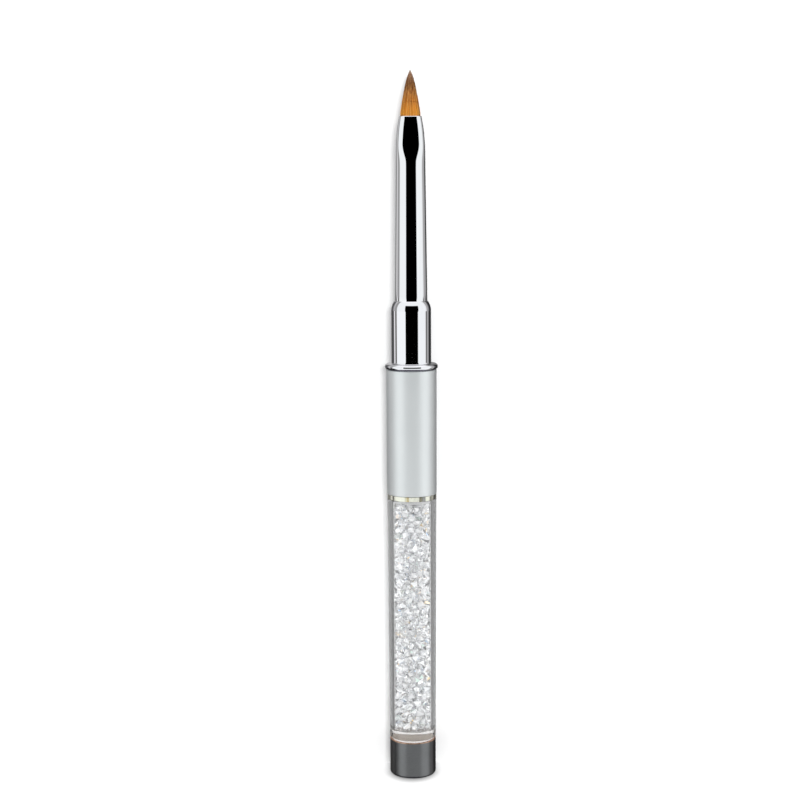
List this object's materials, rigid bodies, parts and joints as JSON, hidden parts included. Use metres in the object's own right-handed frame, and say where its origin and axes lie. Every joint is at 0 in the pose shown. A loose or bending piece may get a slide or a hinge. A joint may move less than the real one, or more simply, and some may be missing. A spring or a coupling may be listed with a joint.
{
  "type": "nail brush",
  "caption": "Nail brush with a flat pointed tuft in a crimped chrome ferrule, a flanged neck, a satin grip sleeve and a clear handle tube filled with loose crystal chips.",
  "frame": {"origin": "centre of the end cap's flat bottom face", "axes": "+Z runs along the brush from the end cap to the tip of the hair; the flattened ferrule mouth and the tuft are wide along X and thin along Y, so -Y is the front"},
  "size_m": [0.0126, 0.0126, 0.1703],
  "materials": {
    "gunmetal": "dark gunmetal plating with a soft gloss",
    "clear_plug": "clear polished acrylic",
    "clear_tube": "clear polished acrylic",
    "crystal": "clear cut acrylic chips with bright facets",
    "white_plastic": "plain moulded plastic",
    "pale_gold": "polished pale gold plating",
    "satin_silver": "satin silver with a fine pearly grain",
    "chrome_collar": "mirror chrome over turned brass",
    "chrome_ferrule": "mirror chrome over thin drawn metal",
    "adhesive": "cured amber adhesive",
    "thread": "twisted binding thread",
    "hair": "fine golden brown hair, darker brown towards the tip"
  },
  "bodies": {
    "brush_body": {"end_cap": "gunmetal", "end_plug": "clear_plug", "handle_tube": "clear_tube", "crystal_chips": "crystal", "tube_stopper": "white_plastic", "trim_ring": "pale_gold", "grip_sleeve": "satin_silver", "handle_core": "white_plastic", "neck_collar": "chrome_collar", "ferrule": "chrome_ferrule", "root_adhesive": "adhesive", "binding_thread": "thread", "hair_root": "hair"},
    "tuft_belly": {"hair_belly": "hair"},
    "tuft_tip": {"hair_tip": "hair"}
  },
  "joints": [
    {"name": "tuft_flex", "type": "hinge", "parent": "brush_body", "child": "tuft_belly", "pos_m": [0, 0, 0.1611], "axis": [1, 0, 0], "range_deg": [-35, 35], "stiffness_Nm_per_rad": 0.0002},
    {"name": "tuft_sway", "type": "hinge", "parent": "tuft_belly", "child": "tuft_tip", "pos_m": [0, 0, 0.1637], "axis": [0, 1, 0], "range_deg": [-12, 12], "stiffness_Nm_per_rad": 0.0002}
  ]
}
